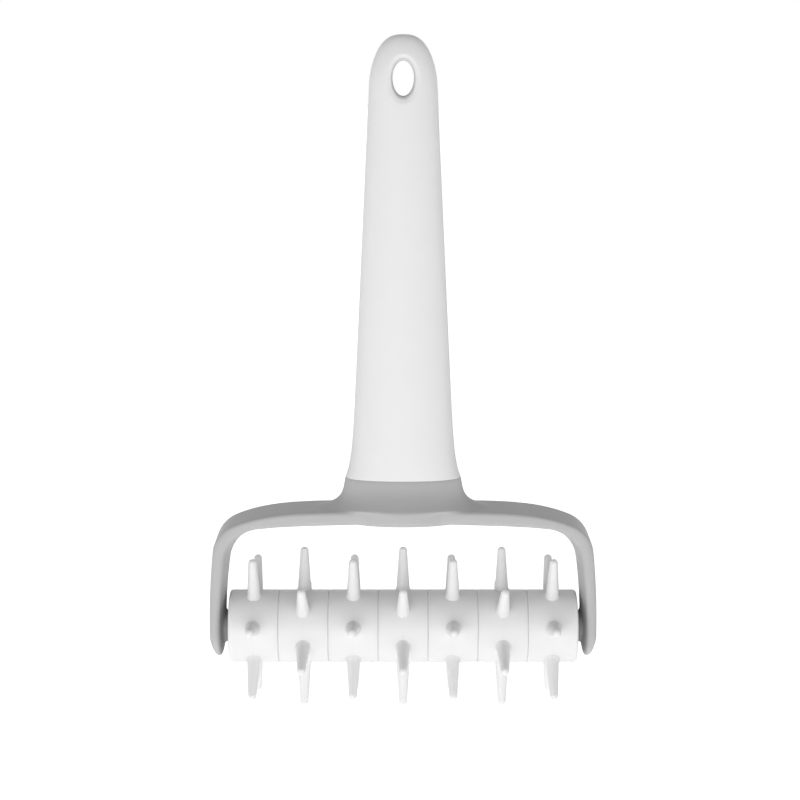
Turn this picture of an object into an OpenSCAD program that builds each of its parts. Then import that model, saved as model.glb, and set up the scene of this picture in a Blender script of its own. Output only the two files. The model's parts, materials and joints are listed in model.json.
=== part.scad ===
// Dough docker: a hand roller whose seven spiked rings prick holes in rolled dough.
// It hangs upright by the eye in its grip. X runs along the roller, the front faces -Y,
// +Z is up, and the origin is the middle of the eye. All sizes are in millimetres.

/* [Grip] */
// Length of the grip, from its mouth on the yoke to its rounded end
grip_len = 132.9; // [110:0.1:165]
// Width of the grip's mouth, across the flare
mouth_w = 35.2; // [34:0.1:40]
// Depth of the grip's mouth, front to back
mouth_d = 14.6; // [13:0.1:18]
// Width that the straight taper would reach at the mouth, without the flare
taper_w = 31.6; // [28:0.1:33.5]
// Depth that the straight taper would reach at the mouth
taper_d = 15.6; // [14:0.1:18.5]
// Width of the taper at the eye
eye_end_w = 20; // [17:0.1:26]
// Depth of the taper at the eye
eye_end_d = 12.4; // [9:0.1:16]
// Height over which the mouth's flare dies away
flare_len = 5.5; // [3:0.1:10]
// Length of the rounded end
crown_len = 15; // [10:0.1:18]
// Squareness of the grip's oval section, 2 is an ellipse
grip_power = 2.3; // [2:0.1:3]
// Fullness of the rounded end, seen from the front
crown_power_w = 2.7; // [2:0.1:4]
// Fullness of the rounded end, seen from the side
crown_power_d = 3.4; // [2:0.1:4]

/* [Eye] */
// Width of the eye
eye_w = 6.35; // [4.5:0.05:8]
// Height of the eye
eye_h = 10.45; // [8:0.05:13]
// Distance from the middle of the eye to the top of the grip
eye_from_top = 12.8; // [11:0.1:20]
// Radius of the rounded edge round the eye
eye_rim = 0.7; // [0.3:0.05:1.2]
// Width of the shallow dish round the eye
dish_w = 1.4; // [0.6:0.05:2]
// Depth of the dish
dish_depth = 0.4; // [0.1:0.05:0.7]

/* [Yoke] */
// Height of the grip's mouth above the axle
axle_drop = 47.6; // [44:0.1:60]
// Height of the strap's top above the axle, in the middle
strap_rise = 38.4; // [36.5:0.05:41]
// Thickness of the strap in the middle, under the neck
strap_t = 5.2; // [4.4:0.05:6.2]
// Thickness of the arms at the axle
arm_t = 4.55; // [4:0.05:5.2]
// Depth of the strap, front to back
strap_d = 17; // [14:0.1:18.5]
// Radius of the strap's rounded edges
edge_r = 1.5; // [0.5:0.05:1.5]
// Belly of the strap's inner face: how far it stands out in the middle of its depth
strap_belly = 1.4; // [0:0.05:1.6]
// Gap between the end of the roller and the arm
arm_gap = 1.3; // [1.1:0.05:4]
// Lean that the bowed outside of the arm has reached at the corner, in degrees
lean_out = 6; // [1:0.1:9]
// Lean that the bowed inside of the arm has reached at the corner, in degrees
lean_in = 8.2; // [1:0.1:10]
// Radius of the corner along its outside
corner_out_r = 10.5; // [8:0.1:14]
// Radius of the corner along its inside
corner_in_r = 12.3; // [8:0.1:14]
// Slope that the bowed top of the bar has reached at the corner, in degrees
slope_out = 23; // [10:0.1:28]
// Slope that the bowed underside of the bar has reached at the corner, in degrees
slope_in = 1; // [0.5:0.1:6]
// Length over which an arm thins to its round end
arm_taper = 4; // [2:0.1:6]
// Distance of the arm's round end below the axle
arm_drop = 0.7; // [0:0.1:2]
// Turn of the arm's tip towards the roller
tip_toe = 0.6; // [0:0.05:1]
// Depth of the neck's foot, which swells out of the strap's front and back
neck_foot_d = 20.6; // [19.4:0.1:24]
// Width of the neck's foot
neck_foot_w = 37.8; // [30:0.1:44]
// Depth of the neck at its waist
neck_waist_d = 13.4; // [11:0.1:16]
// Half width of the flare where the neck meets the strap
neck_spread = 26.8; // [24:0.1:32]
// Widening of the neck on each side before the flare
neck_swell = 1.6; // [0:0.1:3]
// Overhang of the neck beside the grip's mouth
neck_lap = 0.1; // [0:0.05:0.5]
// Step of the neck behind the grip's mouth, front and back
neck_step = 0.3; // [0:0.05:0.6]
// Radius of the rounded edge under the neck's foot
foot_edge = 1; // [0.5:0.1:1.5]

/* [Tang] */
// Length of the tang inside the grip
tang_len = 46; // [30:0.5:60]
// Width of the tang
tang_w = 18; // [12:0.5:20]
// Depth of the tang's flanges
tang_d = 8; // [6:0.5:9]
// Thickness of the tang's web, flanges and ribs
tang_wall = 2; // [1.4:0.1:3]
// Depth of the grip's socket beyond the end of the tang
socket_spare = 3; // [1:0.5:10]

/* [Roller] */
// Width of one ring along the axle
ring_w = 15.3; // [12:0.1:18]
// Diameter of the rings
ring_d = 22.5; // [20.5:0.1:28]
// Wall of a ring's outer shell
ring_wall = 1.8; // [1.4:0.1:2.2]
// Diameter of a ring's hub
hub_d = 14.6; // [13.8:0.1:15.2]
// Thickness of the web between hub and shell
web_t = 2; // [1.4:0.1:4]
// Rounding of the edges between the rings
ring_edge = 0.35; // [0.1:0.05:0.8]
// Rounding of the roller's two ends
end_edge = 0.85; // [0.1:0.05:1.2]
// Width across the flats of the square core
core_w = 9; // [7.5:0.1:9.4]
// Diameter that the core's corners are turned down to
core_round_d = 12; // [10.8:0.1:12.4]
// Thickness of an end cap's disc
cap_t = 2.2; // [1.6:0.1:3]
// Length of the skirt inside an end cap
cap_skirt = 3; // [1:0.1:3.6]

/* [Spikes] */
// Radius of the circle through the spike tips
tip_r = 24.5; // [20:0.1:26]
// Diameter of a spike where it leaves the ring
spike_root_d = 4.2; // [3:0.1:5]
// Diameter of a spike just under its rounded tip
spike_tip_d = 2.5; // [1.6:0.1:3]
// Height of the rounded tip
spike_dome = 1.1; // [0.6:0.1:1.5]
// Turn of the first ring at rest, from straight ahead towards the grip
rest_turn = 18; // [0:1:59]

/* [Axle] */
// Diameter of the axle rod
rod_d = 4; // [3:0.1:5]
// Diameter of the boss that holds the rod's end
boss_d = 9.6; // [7:0.1:12]
// Wall left outside the blind end of the boss's socket
blind_wall = 1.5; // [1:0.1:2]
// Bevel on the rod's ends
rod_bevel = 0.4; // [0.1:0.1:0.8]

/* [Fits] */
// Running clearance of the end caps on the rod, all round
run_fit = 0.06; // [0.02:0.01:0.1]
// Clearance of the rod in its blind sockets, all round and at its ends
seat_fit = 0.02; // [0.01:0.01:0.05]
// Clearance of the rings on the square core and of the caps in the rings
slide_fit = 0.08; // [0.04:0.01:0.15]
// Clearance of the core's bore on the rod
free_fit = 0.3; // [0.15:0.05:0.5]
// End play of the roller between the bosses, on each side
end_play = 0.35; // [0.1:0.05:0.8]

/* [Hidden] */

grip_colour = [0.94, 0.94, 0.94];
yoke_colour = [0.62, 0.62, 0.62];
roller_colour = [0.93, 0.93, 0.93];
steel_colour = [0.75, 0.76, 0.78];

ring_count = 7;
spikes_per_ring = 6;
ring_turn = 90;
tang_ribs = 4;
round_fn = 64;
dome_steps = 5;
ring_edge_steps = 2;
grip_sides = 36;
grip_steps = 20;
grip_crowding = 1.7;
crown_steps = 11;
crown_stop = 86;
rim_step = 22.5;
edge_steps = 3;
belly_places = [0.5, 0, -0.5];
side_steps = [5, 10, 9];
bar_crowding = 1.4;
bar_power = 5;
arm_power = 2;
tip_steps = 8;
tip_stop = 84;
neck_power = 2.1;
flare_power = 5;
foot_power = 3;
bullnose = 0.96;
neck_steps = [0, 0.1, 0.22, 0.35, 0.48, 0.6, 0.72, 0.82, 0.9, 0.98];
neck_sink = 0.4;
foot_lift = 0.15;
foot_step = 30;
overlap = 0.5;

mouth_z = eye_from_top - grip_len;
axle_z = mouth_z - axle_drop;
eye_height = grip_len - eye_from_top;
roller_half = ring_count * ring_w / 2;
arm_in_x = roller_half + arm_gap;
arm_out_x = arm_in_x + arm_t;
arm_mid_x = arm_in_x + arm_t / 2;
under_rise = strap_rise - strap_t;
arm_end_r = strap_d / 2;
boss_face_x = roller_half + end_play;
socket_end_x = arm_out_x - blind_wall;
rod_half = socket_end_x - seat_fit;
core_half = roller_half - cap_t;
hub_w = ring_w - 2 * cap_t;
shell_in_r = ring_d / 2 - ring_wall;
spike_start_r = ring_d / 2 - ring_wall / 2;

// Triangles between the rings of points of a loft, with both ends closed
function loft_faces(rings, sides) = concat(
    [[for (i = [0:sides - 1]) i]],
    [for (k = [0:rings - 2], i = [0:sides - 1])
        each let (a = k * sides + i, b = k * sides + (i + 1) % sides)
            [[a, b + sides, b], [a, a + sides, b + sides]]],
    [[for (i = [sides - 1:-1:0]) (rings - 1) * sides + i]]);

module loft(rings) {
    sides = len(rings[0]);
    polyhedron([for (ring = rings) each ring], loft_faces(len(rings), sides), convexity = 8);
}

// One oval ring of points at a height: half width, half depth and squareness
function oval(half_w, half_d, z, power, sides) =
    [for (i = [0:sides - 1]) let (a = 360 * i / sides, c = cos(a), s = sin(a))
        [half_w * sign(c) * pow(abs(c), 2 / power), half_d * sign(s) * pow(abs(s), 2 / power), z]];

// Half width and half depth of the grip at a height above its mouth
function crown(h, power) =
    let (u = max(0, (h - grip_len + crown_len) / crown_len)) pow(max(0, 1 - u * u), 1 / power);
function tapered(h, at_mouth, at_eye) = at_mouth + (at_eye - at_mouth) * h / eye_height;
function flare(h) = exp(-h / flare_len);
function grip_half_w(h) =
    (tapered(h, taper_w, eye_end_w) + (mouth_w - taper_w) * flare(h)) / 2 * crown(h, crown_power_w);
function grip_half_d(h) =
    (tapered(h, taper_d, eye_end_d) + (mouth_d - taper_d) * flare(h)) / 2 * crown(h, crown_power_d);

// Heights of the grip's rings: close together in the flare and in the rounded end
function grip_heights() = concat(
    [for (i = [0:grip_steps]) (grip_len - crown_len) * pow(i / grip_steps, grip_crowding)],
    [for (i = [1:crown_steps]) grip_len - crown_len + crown_len * sin(i * crown_stop / crown_steps)]);

// The eye as a cutter: straight through the middle, a rounded edge and a shallow dish on each face
module eye_cutter() {
    face_y = grip_half_d(eye_height);
    edge = [for (a = [0:rim_step:90])
        [eye_rim * (1 - cos(a)), face_y - dish_depth - eye_rim * (1 - sin(a))]];
    dish = [eye_rim + dish_w, face_y + dish_depth];
    half = concat(edge, [dish]);
    profile = concat([for (i = [len(half) - 1:-1:0]) [half[i][0], -half[i][1]]], half);
    rotate([90, 0, 0])
        loft([for (p = profile) oval(eye_w / 2 + p[0], eye_h / 2 + p[0], p[1], 2, grip_sides)]);
}

// Rounded oblong, for the tang and its socket
module oblong(w, d, r) {
    square([w, d - 2 * r], center = true);
    square([w - 2 * r, d], center = true);
    for (x = [-1, 1], y = [-1, 1])
        translate([x * (w / 2 - r), y * (d / 2 - r)]) circle(r = r, $fn = round_fn / 2);
}

module grip() {
    color(grip_colour) difference() {
        translate([0, 0, mouth_z])
            loft([for (h = grip_heights())
                oval(grip_half_w(h), grip_half_d(h), h, grip_power, grip_sides)]);
        eye_cutter();
        translate([0, 0, mouth_z - overlap])
            linear_extrude(tang_len + socket_spare + overlap)
                oblong(tang_w + 2 * slide_fit, tang_d + 2 * slide_fit, tang_wall / 2);
    }
}

// One side of the arch in front view, as a bowed arm, a corner arc and half of a bowed bar: half width
// at the axle, height in the middle, corner radius, and the arm's lean and the bar's slope at the corner
outside = [arm_out_x, strap_rise, corner_out_r, lean_out, slope_out];
inside = [arm_in_x, under_rise, corner_in_r, lean_in, slope_in];

// Half width at which the bar meets the corner arc, and height at which the arm meets it
function corner_ends(side) =
    let (r = side[2], lean = side[3], slope = side[4],
         arm_bow = tan(lean) / arm_power, bar_bow = tan(slope) / bar_power,
         arc_w = r * (cos(lean) - sin(slope)), arc_h = r * (sin(lean) - cos(slope)),
         x = (side[0] - arc_w - (side[1] + arc_h) * arm_bow) / (1 - arm_bow * bar_bow))
    [x, side[1] + arc_h - x * bar_bow];

// Places on the arm by the height, on the corner arc by the slope there, and on the bar by the width
function on_arm(side, z) =
    let (end = corner_ends(side)[1])
    [side[0] - end * tan(side[3]) / arm_power * pow(max(0, z) / end, arm_power), z];
function on_bar(side, x) =
    let (end = corner_ends(side)[0])
    [x, side[1] - end * tan(side[4]) / bar_power * pow(x / end, bar_power)];
function on_corner(side, bend) =
    let (r = side[2], slope = side[4])
    on_bar(side, corner_ends(side)[0]) + r * [sin(bend) - sin(slope), cos(bend) - cos(slope)];

// Place on that side: part 0 is the arm, 1 the corner and 2 the bar, share runs from 0 to 1 in each
function on_side(side, part, share) =
    let (upright = 90 - side[3], ends = corner_ends(side))
    part == 0 ? on_arm(side, ends[1] * share - arm_drop * (1 - share))
    : part == 1 ? on_corner(side, upright + (side[4] - upright) * share)
    : on_bar(side, ends[0] * (1 - pow(share, bar_crowding)));

// Section of the strap: rounded edges, a flat outer face and an inner face with a belly
function edge_arc(k, side_t, half_d, r) =
    let (sx = (k == 0 || k == 3) ? 1 : -1, sy = (k < 2) ? 1 : -1)
    [for (j = [0:edge_steps]) let (a = 90 * (k + j / edge_steps))
        [sx * (side_t - r) + r * cos(a), sy * (half_d - r) + r * sin(a)]];
function strap_profile(half_t, half_d) =
    let (belly = min(strap_belly, half_t / 2), inner_t = half_t - belly,
         r = min(edge_r, bullnose * min(half_t - belly / 2, half_d)))
    concat(edge_arc(0, half_t, half_d, r), edge_arc(1, inner_t, half_d, r),
           [for (s = belly_places) [belly * s * s - half_t, s * (half_d - r)]],
           edge_arc(2, inner_t, half_d, r), edge_arc(3, half_t, half_d, r));

// That section set between an outer and an inner place of the front view
function strap_section(out, in, half_d) =
    let (middle = (out + in) / 2, half_t = norm(out - in) / 2, across = (out - in) / (2 * half_t))
    [for (p = strap_profile(half_t, half_d))
        [middle[0] + p[0] * across[0], p[1], axle_z + middle[1] + p[0] * across[1]]];

// Below the axle an arm thins, turns in a little and ends in a half circle
function arm_tip(side, angles) =
    [for (a = angles)
        let (drop = arm_end_r * sin(a), half_t = arm_t / 2 * sqrt(min(1, (arm_end_r - drop) / arm_taper)),
             middle = arm_mid_x - tip_toe * (1 - 2 * half_t / arm_t), z = -arm_drop - drop)
        strap_section([side * (middle + half_t), z], [side * (middle - half_t), z],
                      arm_end_r * cos(a))];

// Above it the strap follows its two outlines
function flip(side, p) = [side * p[0], p[1]];
function arch_section(side, part, share) =
    strap_section(flip(side, on_side(outside, part, share)), flip(side, on_side(inside, part, share)),
                  strap_d / 2);

module strap() {
    angles = [for (i = [1:tip_steps]) tip_stop * i / tip_steps];
    places = [for (part = [0:2], i = [0:side_steps[part] - 1]) [part, i / side_steps[part]]];
    loft(concat(
        arm_tip(1, [for (i = [tip_steps - 1:-1:0]) angles[i]]),
        [for (p = places) arch_section(1, p[0], p[1])],
        [arch_section(1, 2, 1)],
        [for (i = [len(places) - 1:-1:0]) arch_section(-1, places[i][0], places[i][1])],
        arm_tip(-1, angles)));
}

// Half width and half depth of the neck, by the share of the way down from the mouth to the strap
function neck_half_w(u) =
    let (top = mouth_w / 2 + neck_lap)
    top + neck_swell * u + (neck_spread - top - neck_swell) * pow(u, flare_power);
function neck_half_d(u) =
    let (waist = neck_waist_d / 2, top = mouth_d / 2 - neck_step)
    waist + (top - waist) * pow(1 - u, 2) + (neck_foot_d / 2 - waist) * pow(u, foot_power);

// The neck meets the strap where the flare ends, and its foot passes through the strap
module neck() {
    flare_z = on_bar(outside, neck_spread)[1];
    flank = [for (u = neck_steps)
        [neck_half_w(u), neck_half_d(u), axle_drop + (flare_z - axle_drop) * u]];
    foot = [for (a = [0:foot_step:90])
        let (inset = foot_edge * (1 - cos(a)), lift = foot_lift + foot_edge * (1 - sin(a)))
        [neck_foot_w / 2 - inset, neck_foot_d / 2 - inset, under_rise + strap_belly + lift]];
    sunk = [neck_foot_w / 2, neck_foot_d / 2, flare_z - neck_sink];
    rings = concat(flank, [sunk], foot);
    translate([0, 0, axle_z])
        loft([for (i = [len(rings) - 1:-1:0])
            oval(rings[i][0], rings[i][1], rings[i][2], neck_power, grip_sides)]);
}

// The tang that the grip is pressed on: two flanges, a web and cross ribs
module tang() {
    inner_w = tang_w - tang_wall;
    rib_pitch = (tang_len - tang_wall) / tang_ribs;
    translate([0, 0, mouth_z]) intersection() {
        translate([0, 0, -overlap])
            linear_extrude(tang_len + overlap) oblong(tang_w, tang_d, tang_wall / 2);
        translate([0, 0, -overlap]) union() {
            for (x = [-1, 1])
                translate([x * inner_w / 2 - tang_wall / 2, -tang_d / 2, 0])
                    cube([tang_wall, tang_d, tang_len + overlap]);
            translate([-inner_w / 2, -tang_wall / 2, 0]) cube([inner_w, tang_wall, tang_len + overlap]);
            for (i = [1:tang_ribs])
                translate([-inner_w / 2, -tang_d / 2, overlap + i * rib_pitch])
                    cube([inner_w, tang_d, tang_wall]);
        }
    }
}

// A round piece on the axle, from one place along X to another
module on_axle(x0, x1, d) {
    translate([x0, 0, axle_z]) rotate([0, 90, 0]) cylinder(h = x1 - x0, d = d, $fn = round_fn);
}

module yoke() {
    color(yoke_colour) difference() {
        union() {
            strap();
            neck();
            tang();
            on_axle(boss_face_x, arm_mid_x, boss_d);
            on_axle(-arm_mid_x, -boss_face_x, boss_d);
        }
        on_axle(boss_face_x - overlap, socket_end_x, rod_d + 2 * seat_fit);
        on_axle(-socket_end_x, -boss_face_x + overlap, rod_d + 2 * seat_fit);
    }
}

module axle_rod() {
    r = rod_d / 2;
    color(steel_colour) translate([0, 0, axle_z]) rotate([0, 90, 0])
        rotate_extrude($fn = round_fn)
            polygon([[0, -rod_half], [r - rod_bevel, -rod_half], [r, -rod_half + rod_bevel],
                     [r, rod_half - rod_bevel], [r - rod_bevel, rod_half], [0, rod_half]]);
}

// Square with its corners turned down, for the core and, with a clearance, for the rings' bores
module core_outline(clearance) {
    intersection() {
        square(core_w + 2 * clearance, center = true);
        circle(d = core_round_d + 2 * clearance, $fn = round_fn);
    }
}

// Lays a shape that was drawn along Z on the axle, turned to its place
module lay_on_axle(turn) {
    translate([0, 0, axle_z]) rotate([turn, 0, 0]) rotate([0, 90, 0]) children();
}

module hub_core() {
    color(roller_colour) lay_on_axle(rest_turn) difference() {
        translate([0, 0, -core_half]) linear_extrude(2 * core_half) core_outline(0);
        cylinder(h = 2 * (core_half + overlap), d = rod_d + 2 * free_fit, center = true, $fn = round_fn);
    }
}

// Round spike along +Z from inside the ring's shell to its domed tip
module spike() {
    root = spike_root_d / 2;
    tip = spike_tip_d / 2;
    dome_z = tip_r - spike_dome;
    dome = [for (i = [1:dome_steps - 1]) let (a = 90 * i / dome_steps)
        [tip * cos(a), dome_z + spike_dome * sin(a)]];
    rotate_extrude($fn = round_fn / 2)
        polygon(concat([[0, spike_start_r], [root, spike_start_r], [root, ring_d / 2], [tip, dome_z]],
                       dome, [[0, tip_r]]));
}

// Rounded outer edge of a ring's shell at its low end
function shell_edge(round_r) =
    [for (j = [0:ring_edge_steps]) let (a = 90 * j / ring_edge_steps)
        [ring_d / 2 - round_r * (1 - sin(a)), -ring_w / 2 + round_r * (1 - cos(a))]];

// A ring along Z: shell with rounded edges, web and hub round the square bore, with its spikes
module spike_ring(index) {
    middle_x = (index - (ring_count + 1) / 2) * ring_w;
    h = ring_w / 2;
    low = shell_edge(index == 1 ? end_edge : ring_edge);
    high = shell_edge(index == ring_count ? end_edge : ring_edge);
    color(roller_colour) translate([middle_x, 0, 0])
        lay_on_axle(rest_turn + ring_turn * (index - 1)) difference() {
            union() {
                rotate_extrude($fn = round_fn)
                    polygon(concat([[shell_in_r, -h]], low,
                                   [for (i = [ring_edge_steps:-1:0]) [high[i][0], -high[i][1]]],
                                   [[shell_in_r, h]]));
                cylinder(h = web_t, r = shell_in_r + overlap, center = true, $fn = round_fn);
                cylinder(h = hub_w, d = hub_d, center = true, $fn = round_fn);
                for (i = [0:spikes_per_ring - 1])
                    rotate([0, 0, 360 * i / spikes_per_ring]) rotate([0, 90, 0]) spike();
            }
            translate([0, 0, -h]) linear_extrude(ring_w) core_outline(slide_fit);
        }
}

// End cap along Z, disc outwards: it closes the last ring and runs on the rod
module end_cap(side) {
    disc_r = shell_in_r - slide_fit;
    skirt_in_r = hub_d / 2 + slide_fit;
    color(roller_colour) translate([side * roller_half, 0, 0])
        lay_on_axle(0) mirror([0, 0, side > 0 ? 0 : 1]) difference() {
            union() {
                translate([0, 0, -cap_t]) cylinder(h = cap_t, r = disc_r, $fn = round_fn);
                difference() {
                    translate([0, 0, -cap_t - cap_skirt])
                        cylinder(h = cap_skirt + cap_t / 2, r = disc_r, $fn = round_fn);
                    translate([0, 0, -cap_t - cap_skirt - overlap])
                        cylinder(h = cap_skirt + overlap, r = skirt_in_r, $fn = round_fn);
                }
            }
            translate([0, 0, -cap_t - overlap])
                cylinder(h = cap_t + 2 * overlap, d = rod_d + 2 * run_fit, $fn = round_fn);
        }
}

grip();
yoke();
axle_rod();
hub_core();
end_cap(-1);  // end_cap_left
end_cap(1);  // end_cap_right
spike_ring(1);  // spike_ring_1
spike_ring(2);  // spike_ring_2
spike_ring(3);  // spike_ring_3
spike_ring(4);  // spike_ring_4
spike_ring(5);  // spike_ring_5
spike_ring(6);  // spike_ring_6
spike_ring(7);  // spike_ring_7
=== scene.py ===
"""The looks of a dough docker: a white grip, a grey yoke and a roller of seven spiked rings.

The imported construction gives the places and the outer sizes. Each visible moulding is built here with a
fine mesh in the same place, and the pieces that hardly show keep the meshes of the construction.
"""

import json
import math

import bmesh
import bpy
import numpy as np
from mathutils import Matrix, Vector


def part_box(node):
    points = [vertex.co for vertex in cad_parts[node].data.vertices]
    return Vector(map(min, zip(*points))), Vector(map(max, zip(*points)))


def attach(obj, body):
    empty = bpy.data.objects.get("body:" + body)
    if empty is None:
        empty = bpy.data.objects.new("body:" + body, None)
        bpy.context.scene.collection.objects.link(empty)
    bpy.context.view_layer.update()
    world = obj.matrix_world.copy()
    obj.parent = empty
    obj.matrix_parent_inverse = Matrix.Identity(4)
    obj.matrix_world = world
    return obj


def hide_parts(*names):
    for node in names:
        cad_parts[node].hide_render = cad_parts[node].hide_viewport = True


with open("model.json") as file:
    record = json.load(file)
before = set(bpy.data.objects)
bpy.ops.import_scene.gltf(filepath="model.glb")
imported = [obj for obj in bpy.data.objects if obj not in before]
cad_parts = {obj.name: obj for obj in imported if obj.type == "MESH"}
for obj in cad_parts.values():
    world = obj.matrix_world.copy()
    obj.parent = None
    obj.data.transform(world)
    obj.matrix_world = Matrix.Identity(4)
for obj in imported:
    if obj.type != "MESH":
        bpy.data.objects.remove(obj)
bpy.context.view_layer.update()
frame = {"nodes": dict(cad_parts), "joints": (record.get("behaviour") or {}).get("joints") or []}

MM = 0.001
UM = 1e-6
DEG = math.radians(1)

# Places that the frame gives, in metres
AXLE = Vector(frame["joints"][0]["pos_m"])
GRIP_LOW, GRIP_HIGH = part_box("grip")
YOKE_LOW, YOKE_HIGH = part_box("yoke")
ROD_LOW, ROD_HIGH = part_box("axle_rod")
RINGS = sorted(name for name in frame["nodes"] if name.startswith("spike_ring_"))
RING_LOW, RING_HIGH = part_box(RINGS[0])
ROLLER_HALF = -RING_LOW.x

# Camera of the photograph
VIEW_DISTANCE = 582.6 * MM
VIEW_ELEVATION = 11 * DEG
VIEW_TARGET = Vector((-0.95 * MM, 0, AXLE.z + 71.4 * MM))
FRAME_PIXELS = 800
FOCAL_PIXELS = 1919.4
SENSOR_WIDTH = 36.0
NEAR_CLIP = 0.01
FAR_CLIP = 50

# Grip sizes
GRIP_LEN = GRIP_HIGH.z - GRIP_LOW.z
MOUTH_W = 2 * GRIP_HIGH.x
MOUTH_D = 14.6 * MM
TAPER_W = 31.6 * MM
TAPER_D = 15.6 * MM
EYE_END_W = 20 * MM
EYE_END_D = 12.4 * MM
FLARE_LEN = 5.5 * MM
CROWN_LEN = 15 * MM
GRIP_POWER = 2.3
CROWN_POWER_W = 2.7
CROWN_POWER_D = 3.4
EYE_W = 6.35 * MM
EYE_H = 10.45 * MM
EYE_RIM = 0.7 * MM
DISH_W = 1.4 * MM
DISH_DEPTH = 0.4 * MM
SOCKET_W = 18.16 * MM
SOCKET_D = 8.16 * MM
SOCKET_LEN = 49 * MM
SOCKET_POWER = 9
MOUTH_LIP = 0.25 * MM
BODY_CROWDING = 1.5
PANEL_FOOT = -18 * MM
GRIP_SIDES = 96

# Yoke sizes: the two side lines of the arch, then the neck and the bosses
ARM_T = 4.55 * MM
STRAP_T = 5.4 * MM
STRAP_RISE = 38.4 * MM
STRAP_D = 17 * MM
EDGE_R = 1.5 * MM
BELLY = 1.4 * MM
ARM_TAPER = 7 * MM
ARM_DROP = 0.7 * MM
TIP_TOE = 0.6 * MM
ARM_POWER = 2
BAR_POWER = 5
OUTSIDE = {"Reach": YOKE_HIGH.x, "Rise": STRAP_RISE, "Corner": 10.5 * MM, "Lean": 6 * DEG,
           "Slope": 23 * DEG}
INSIDE = {"Reach": YOKE_HIGH.x - ARM_T, "Rise": STRAP_RISE - STRAP_T, "Corner": 12.3 * MM,
          "Lean": 8.2 * DEG, "Slope": 1 * DEG}
NECK_FOOT_D = YOKE_HIGH.y * 2
NECK_FOOT_W = 37.8 * MM
NECK_WAIST_D = 10.2 * MM
NECK_SPREAD = 26.8 * MM
NECK_SWELL = 1.6 * MM
NECK_LAP = 0.1 * MM
NECK_STEP = 2.2 * MM
NECK_POWER = 2.1
FLARE_POWER = 5
FOOT_POWER = 2.5
FOOT_EDGE = 1 * MM
FOOT_LIFT = -0.5 * MM
FOOT_SINK = 0.4 * MM
TANG_CUT = 0.05 * MM
TANG_SINK = 1 * MM
BOSS_D = 9.6 * MM
END_PLAY = 0.35 * MM
SEAT_FIT = 0.02 * MM
VOXEL = 0.41 * MM
BLEND_STRENGTH = 0.5
BLEND_ROUNDS = 5

# Ring sizes
RING_W = RING_HIGH.x - RING_LOW.x
RING_R = 11.25 * MM
RING_WALL = 1.8 * MM
HUB_R = 7.3 * MM
WEB_T = 2 * MM
CAP_T = 2.2 * MM
RING_EDGE = 0.35 * MM
END_EDGE = 0.85 * MM
BORE_W = 9.16 * MM
PROFILE_CORE_R = 0.2 * MM
SPIKES = 6
SPIKE_ROOT_R = 2.1 * MM
SPIKE_TIP_R = 1.25 * MM
SPIKE_REACH = 24.5 * MM
SPIKE_DOME = 1.1 * MM
REST_TURN = 18 * DEG
RING_TURN = 90 * DEG
ROOT_FILLET = 0.4 * MM
CREASE_ANGLE = 35 * DEG

# Mesh making
SOLVER = "EXACT"
SAME_POINT = 0.1 * UM

# Finishes: screen greys of the plastics, and their mould texture in metres
GRIP_LEVEL = 234
YOKE_LEVEL = 191
ROLLER_LEVEL = 237
GRIP_FINISH = {"Grain_Size": 0.35 * MM, "Grain_Depth": 0.004 * MM, "Ripple_Size": 14 * MM,
               "Ripple_Depth": 0.02 * MM, "Mottle": 0.03, "Roughness": 0.5, "Roughness_Spread": 0.12}
YOKE_FINISH = {"Grain_Size": 0.3 * MM, "Grain_Depth": 0.006 * MM, "Ripple_Size": 9 * MM,
               "Ripple_Depth": 0.015 * MM, "Mottle": 0.05, "Roughness": 0.52, "Roughness_Spread": 0.14}
ROLLER_FINISH = {"Grain_Size": 0.25 * MM, "Grain_Depth": 0.003 * MM, "Ripple_Size": 6 * MM,
                 "Ripple_Depth": 0.01 * MM, "Mottle": 0.03, "Roughness": 0.42, "Roughness_Spread": 0.12}
CLOUD_SIZE = 9 * MM
GRAIN_SHARE = 0.5
LINE_HALF_W = 0.12 * MM
LINE_HEIGHT = 0.02 * MM
LINE_CORE = 0.3
LINE_TONE = 0.03
WEAR_FROM = 0.5
WEAR_FULL = 0.62
WEAR_PATCH = 3 * MM
WEAR_TONE = 0.02
WEAR_GLOSS = 0.1
SPECULAR = 0.35
# Painted shade: how much the eye's wall and rim are darkened, and how far out the darkening fades
EYE_PAINTED_SHADE = 0.22
EYE_PAINTED_SHADE_FADE = 1.6
# Painted shade: reach, samples and strength of the occlusion that darkens each plastic's colour in hollows
# and between parts
PAINTED_SHADE_REACH = 7 * MM
PAINTED_SHADE_SAMPLES = 8
GRIP_PAINTED_SHADE = 0.1
YOKE_PAINTED_SHADE = 0.55
ROLLER_PAINTED_SHADE = 0.06
GLOW_DEPTH = 1.5 * MM
GLOW_SHARE = 0.5
STEEL_LEVEL = 196
STEEL_FINISH = {"Grain_Size": 0.3 * MM, "Grain_Depth": 0.0005 * MM, "Ripple_Size": 8 * MM,
                "Ripple_Depth": 0.002 * MM, "Mottle": 0.05, "Roughness": 0.28, "Roughness_Spread": 0.1}
DRAW_LINE_W = 0.12 * MM
DRAW_STRETCH = 0.02
DRAW_TONE = 0.08
DRAW_ROUGHNESS = 0.12
DRAW_DEPTH = 0.002 * MM

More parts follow.
